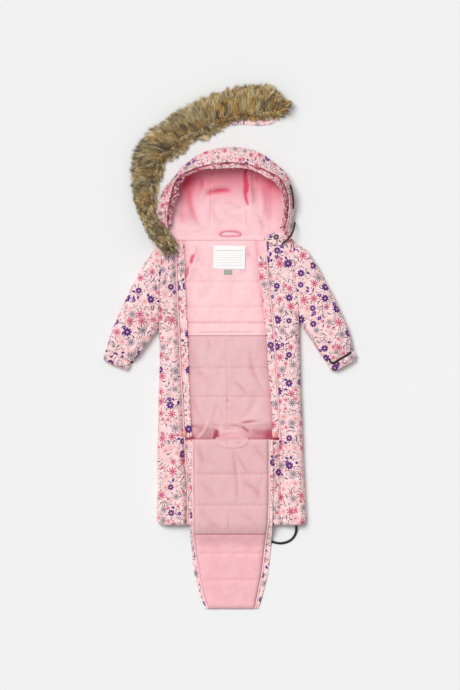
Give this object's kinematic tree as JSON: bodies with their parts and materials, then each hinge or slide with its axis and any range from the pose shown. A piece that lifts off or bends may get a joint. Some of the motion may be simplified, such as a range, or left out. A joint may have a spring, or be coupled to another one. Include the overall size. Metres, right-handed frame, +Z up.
{
  "type": "baby snowsuit",
  "caption": "Padded one-piece baby snowsuit laid flat on its back, unzipped, front panel folded down over the legs, hood open, fur trim half off.",
  "frame": {"origin": "under the middle of the laid-out garment, on the surface it lies on, its free cords left out", "axes": "+Z up off the surface, +Y towards the hood, +X to the right as seen from above"},
  "size_m": [0.6316, 1.3112, 0.0652],
  "materials": {
    "print_cloth": "matt woven polyester, small flowers on pale pink",
    "pink_lining": "smooth pale pink lining",
    "rose_mesh": "fine rose mesh lining",
    "panel_pink": "smooth pink lining",
    "fleece": "pink microfleece",
    "zip_coil": "pale pink coil zip",
    "black_elastic": "black woven elastic",
    "snap_plastic": "grey-green snap cap",
    "dark_metal": "dark eyelet",
    "label_satin": "white satin label",
    "tag_satin": "grey-green satin tag",
    "fur": "long brown and grey fake fur"
  },
  "bodies": {
    "root": {"back_body": "print_cloth", "leg_back_left": "print_cloth", "leg_back_right": "print_cloth", "back_lining_upper": "pink_lining", "back_lining_lower": "rose_mesh", "front_left": "print_cloth", "front_right": "print_cloth", "facing_left": "print_cloth", "facing_right": "print_cloth", "zip_left": "zip_coil", "zip_right": "zip_coil", "leg_front_left": "print_cloth", "leg_front_right": "print_cloth", "panel_shell": "print_cloth", "panel_lining_mesh": "rose_mesh", "panel_lining_pink": "panel_pink", "panel_zip_left": "zip_coil", "panel_zip_right": "zip_coil", "crotch_gusset": "rose_mesh", "sleeve_left": "print_cloth", "sleeve_right": "print_cloth", "cuff_left": "print_cloth", "cuff_right": "print_cloth", "cuff_lining_left": "rose_mesh", "cuff_lining_right": "rose_mesh", "cuff_strap_left": "black_elastic", "cuff_strap_right": "black_elastic", "snap_left": "snap_plastic", "snap_right": "snap_plastic", "hood_shell": "print_cloth", "hood_facing": "print_cloth", "hood_lining": "fleece", "hood_tab": "print_cloth", "eyelet": "dark_metal", "neck_tape": "pink_lining", "hang_loop": "panel_pink", "name_label": "label_satin", "size_tag": "tag_satin", "fur_trim": "fur", "fur_backing": "print_cloth", "brim_cord": "black_elastic", "hood_cord": "black_elastic", "boot_strap": "black_elastic"}
  },
  "joints": []
}
